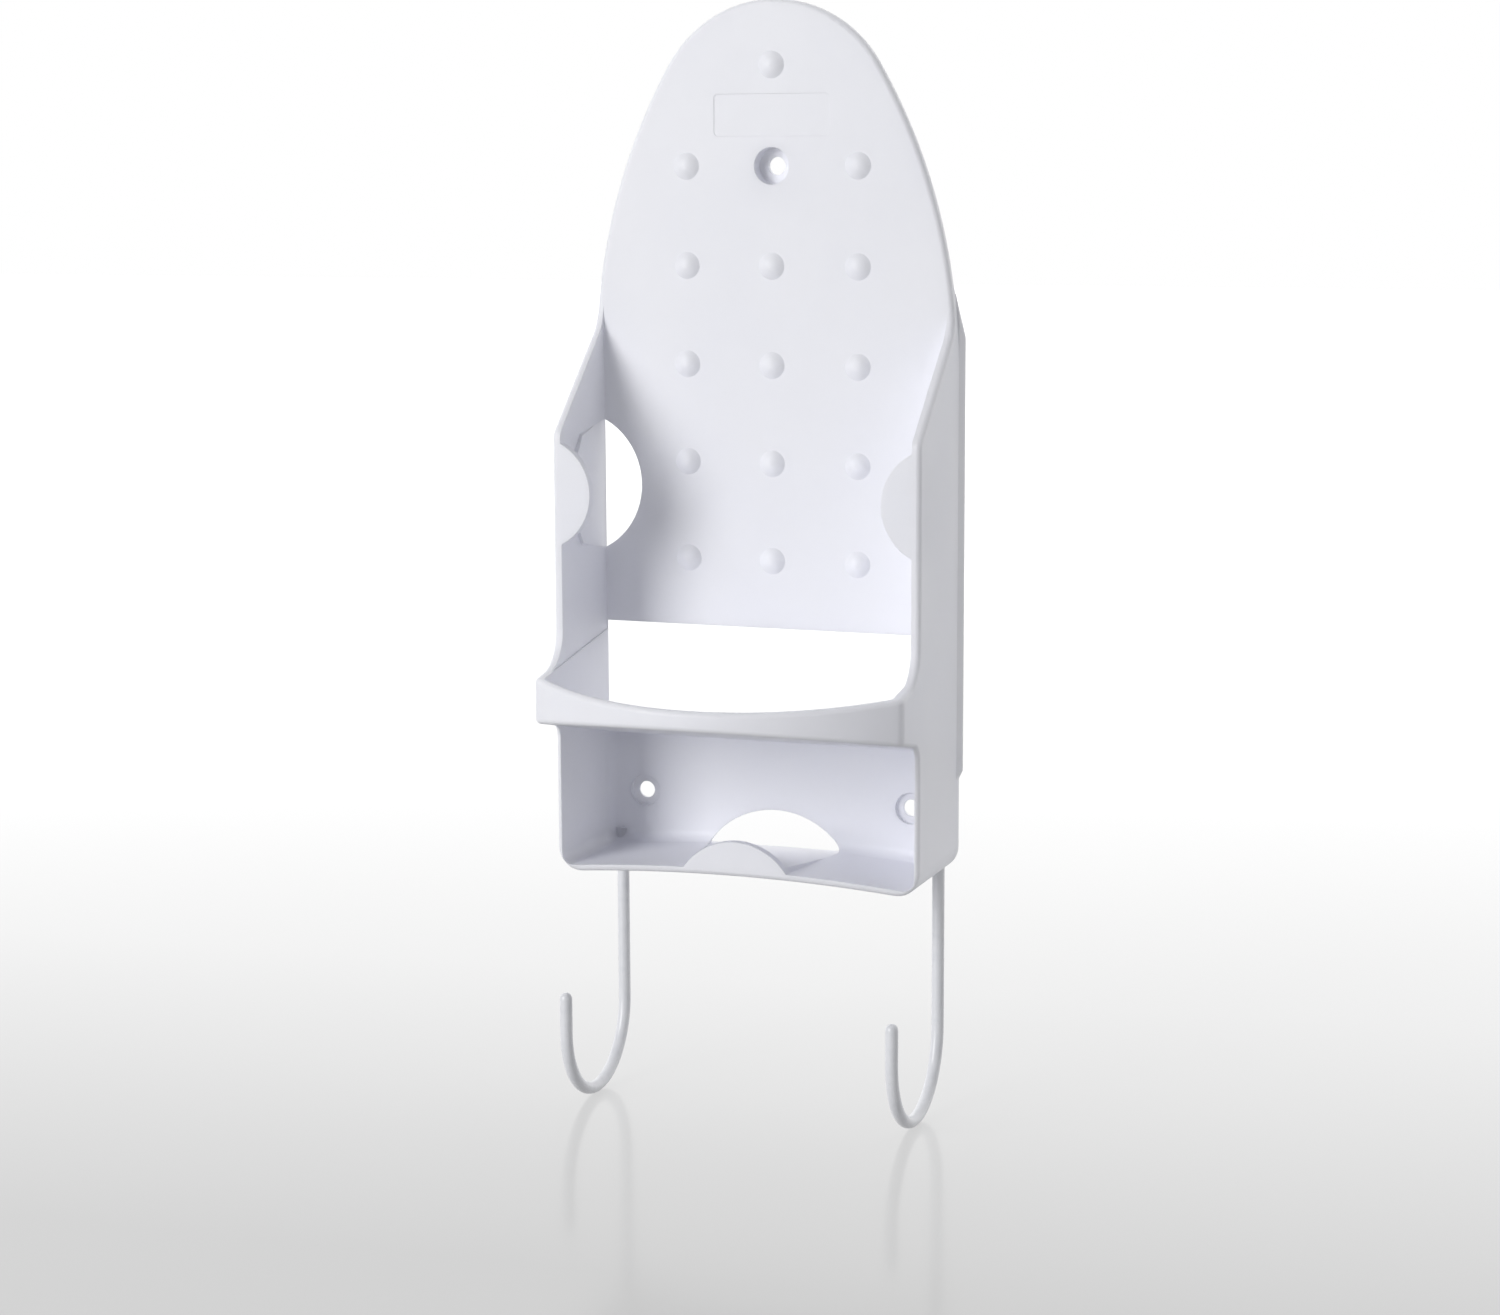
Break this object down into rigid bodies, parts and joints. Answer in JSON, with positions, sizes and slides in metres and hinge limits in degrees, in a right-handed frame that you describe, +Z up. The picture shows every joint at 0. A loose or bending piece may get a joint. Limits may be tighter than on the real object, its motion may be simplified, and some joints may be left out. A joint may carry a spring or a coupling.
{
  "type": "ironing board holder",
  "caption": "Wall-mounted moulded iron caddy with a round-topped dotted back plate, side walls, a bowed tray lip and an open storage box, above wire hooks that carry an ironing board.",
  "frame": {"origin": "axis of the top screw hole, on the plane of the wall", "axes": "+X to the right seen from the front, +Y into the wall, +Z up"},
  "size_m": [0.1424, 0.0943, 0.4055],
  "materials": {
    "body_plastic": "fine satin texture, white with a faint cool tint",
    "coated_wire": "smooth white coating on steel wire"
  },
  "bodies": {
    "root": {"holder_body": "body_plastic", "hook_left": "coated_wire", "hook_right": "coated_wire"}
  },
  "joints": []
}
